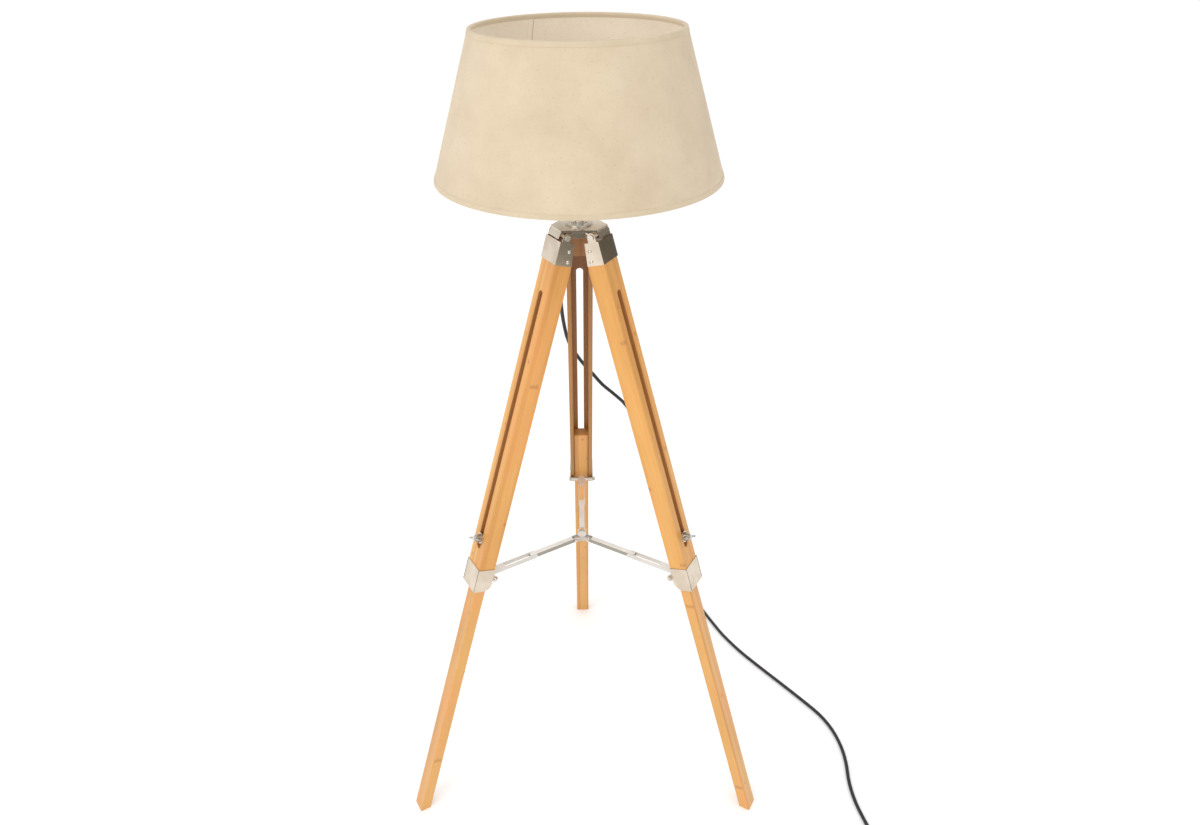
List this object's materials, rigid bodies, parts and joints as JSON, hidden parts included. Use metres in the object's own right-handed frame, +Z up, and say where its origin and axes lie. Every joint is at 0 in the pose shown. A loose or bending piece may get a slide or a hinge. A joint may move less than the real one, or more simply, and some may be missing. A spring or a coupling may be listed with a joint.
{
  "type": "tripod floor lamp",
  "caption": "Floor lamp on three folding, telescoping bamboo legs with nickel fittings, a three-armed spreader, a tapered linen shade and a black mains cord.",
  "frame": {"origin": "on the floor, at the middle of the footprint of the lamp without its free cord", "axes": "+Z up, +X to the right of the lamp seen from its front, -Y towards the front; one leg points along +Y"},
  "size_m": [0.9328, 0.872, 1.4534],
  "materials": {
    "upper_bamboo": "laminated bamboo, satin lacquer",
    "lower_bamboo": "laminated bamboo, satin lacquer",
    "leg_plate": "satin nickel plate",
    "head": "satin nickel plate",
    "spreader": "satin nickel plate",
    "bolts": "nickel plate",
    "screws": "nickel plate",
    "wing_nuts": "polished",
    "stem": "satin nickel plate",
    "brass": "plain",
    "lampholder": "matt black",
    "shade_linen": "plain weave",
    "shade_lining": "smooth, off-white",
    "shade_hem": "plain weave",
    "frame_wire": "white lacquer",
    "cord_sheath": "matt black",
    "cord_fittings": "matt black, moulded",
    "switch_rocker": "gloss black",
    "plug_pins": "nickel on brass"
  },
  "bodies": {
    "root": {"shade_cover": "shade_linen", "shade_lining": "shade_lining", "shade_top_hem": "shade_hem", "shade_bottom_hem": "shade_hem", "shade_rings": "frame_wire", "shade_fitter": "frame_wire", "shade_ring_nuts": "lampholder", "lampholder_body": "lampholder", "lampholder_cap": "lampholder", "screw_shell": "brass", "centre_contact": "brass", "stem": "stem", "threaded_tube": "brass", "tube_nut": "brass", "flange_screws": "screws", "head": "head", "hinge_pins": "bolts", "cord_strain_relief": "cord_fittings", "cord": "cord_sheath", "cord_switch": "cord_fittings", "cord_tail": "cord_sheath", "cord_coil": "cord_sheath", "plug_body": "cord_fittings", "plug_pins": "plug_pins"},
    "leg_back": {"upper_leg_back": "upper_bamboo", "top_bracket_back": "leg_plate", "bracket_screws_back": "screws", "ferrule_back": "leg_plate", "spreader_bolt_back": "bolts"},
    "fork_back": {"arm_fork_back": "spreader"},
    "bar_back": {"arm_bar_back": "spreader"},
    "lower_back": {"lower_leg_back": "lower_bamboo", "clamp_bolt_back": "bolts", "clamp_washer_back": "bolts"},
    "wing_back": {"wing_nut_back": "wing_nuts"},
    "leg_left": {"upper_leg_left": "upper_bamboo", "top_bracket_left": "leg_plate", "bracket_screws_left": "screws", "ferrule_left": "leg_plate", "spreader_bolt_left": "bolts"},
    "fork_left": {"arm_fork_left": "spreader"},
    "bar_left": {"arm_bar_left": "spreader"},
    "lower_left": {"lower_leg_left": "lower_bamboo", "clamp_bolt_left": "bolts", "clamp_washer_left": "bolts"},
    "wing_left": {"wing_nut_left": "wing_nuts"},
    "leg_right": {"upper_leg_right": "upper_bamboo", "top_bracket_right": "leg_plate", "bracket_screws_right": "screws", "ferrule_right": "leg_plate", "spreader_bolt_right": "bolts"},
    "fork_right": {"arm_fork_right": "spreader"},
    "bar_right": {"arm_bar_right": "spreader"},
    "lower_right": {"lower_leg_right": "lower_bamboo", "clamp_bolt_right": "bolts", "clamp_washer_right": "bolts"},
    "wing_right": {"wing_nut_right": "wing_nuts"},
    "hub": {"hub": "spreader", "hub_rivets": "bolts"},
    "rocker": {"switch_rocker": "switch_rocker"}
  },
  "joints": [
    {"name": "fold_back", "type": "hinge", "parent": "root", "child": "leg_back", "pos_m": [0, -0.04482, 1.14148], "axis": [-1, 0, 0], "range_deg": [0, 14]},
    {"name": "fold_left", "type": "hinge", "parent": "root", "child": "leg_left", "pos_m": [-0.03031, -0.09732, 1.14148], "axis": [0.5, -0.866, 0], "range_deg": [0, 14]},
    {"name": "fold_right", "type": "hinge", "parent": "root", "child": "leg_right", "pos_m": [0.03031, -0.09732, 1.14148], "axis": [0.5, 0.866, 0], "range_deg": [0, 14]},
    {"name": "hub_lift", "type": "slide", "parent": "root", "child": "hub", "axis": [0, 0, 1], "range_m": [0, 0.1543]},
    {"name": "fork_turn_back", "type": "hinge", "parent": "leg_back", "child": "fork_back", "pos_m": [0, 0.11668, 0.52056], "axis": [-1, 0, 0], "range_deg": [0, 67.25]},
    {"name": "bar_turn_back", "type": "hinge", "parent": "hub", "child": "bar_back", "pos_m": [0, -0.06282, 0.52356], "axis": [-1, 0, 0], "range_deg": [0, 81.25]},
    {"name": "fork_turn_left", "type": "hinge", "parent": "leg_left", "child": "fork_left", "pos_m": [-0.17017, -0.17807, 0.52056], "axis": [0.5, -0.866, 0], "range_deg": [0, 67.25]},
    {"name": "bar_turn_left", "type": "hinge", "parent": "hub", "child": "bar_left", "pos_m": [-0.01472, -0.08832, 0.52356], "axis": [0.5, -0.866, 0], "range_deg": [0, 81.25]},
    {"name": "fork_turn_right", "type": "hinge", "parent": "leg_right", "child": "fork_right", "pos_m": [0.17017, -0.17807, 0.52056], "axis": [0.5, 0.866, 0], "range_deg": [0, 67.25]},
    {"name": "bar_turn_right", "type": "hinge", "parent": "hub", "child": "bar_right", "pos_m": [0.01472, -0.08832, 0.52356], "axis": [0.5, 0.866, 0], "range_deg": [0, 81.25]},
    {"name": "extend_back", "type": "slide", "parent": "leg_back", "child": "lower_back", "axis": [0, -0.2924, 0.9563], "range_m": [-0.016, 0.458]},
    {"name": "wing_turn_back", "type": "hinge", "parent": "lower_back", "child": "wing_back", "pos_m": [0, 0.12945, 0.60394], "axis": [0, 0.9563, 0.2924], "range_deg": [0, 360]},
    {"name": "extend_left", "type": "slide", "parent": "leg_left", "child": "lower_left", "axis": [0.2532, 0.1462, 0.9563], "range_m": [-0.016, 0.458]},
    {"name": "wing_turn_left", "type": "hinge", "parent": "lower_left", "child": "wing_left", "pos_m": [-0.18124, -0.18446, 0.60394], "axis": [-0.8282, -0.4782, 0.2924], "range_deg": [0, 360]},
    {"name": "extend_right", "type": "slide", "parent": "leg_right", "child": "lower_right", "axis": [-0.2532, 0.1462, 0.9563], "range_m": [-0.016, 0.458]},
    {"name": "wing_turn_right", "type": "hinge", "parent": "lower_right", "child": "wing_right", "pos_m": [0.18124, -0.18446, 0.60394], "axis": [0.8282, -0.4782, 0.2924], "range_deg": [0, 360]},
    {"name": "rocker_tilt", "type": "hinge", "parent": "root", "child": "rocker", "pos_m": [0.5634, -0.37482, 0.0161], "axis": [0.9659, 0.2588, 0], "range_deg": [0, 12]}
  ],
  "couplings": [
    {"joint": "fold_left", "follows": "fold_back", "ratio": 1},
    {"joint": "fold_right", "follows": "fold_back", "ratio": 1},
    {"joint": "hub_lift", "follows": "fold_back", "m_per_rad": 0.63114},
    {"joint": "fork_turn_back", "follows": "fold_back", "ratio": 4.8003},
    {"joint": "bar_turn_back", "follows": "fold_back", "ratio": 5.8003},
    {"joint": "fork_turn_left", "follows": "fold_back", "ratio": 4.8003},
    {"joint": "bar_turn_left", "follows": "fold_back", "ratio": 5.8003},
    {"joint": "fork_turn_right", "follows": "fold_back", "ratio": 4.8003},
    {"joint": "bar_turn_right", "follows": "fold_back", "ratio": 5.8003}
  ]
}
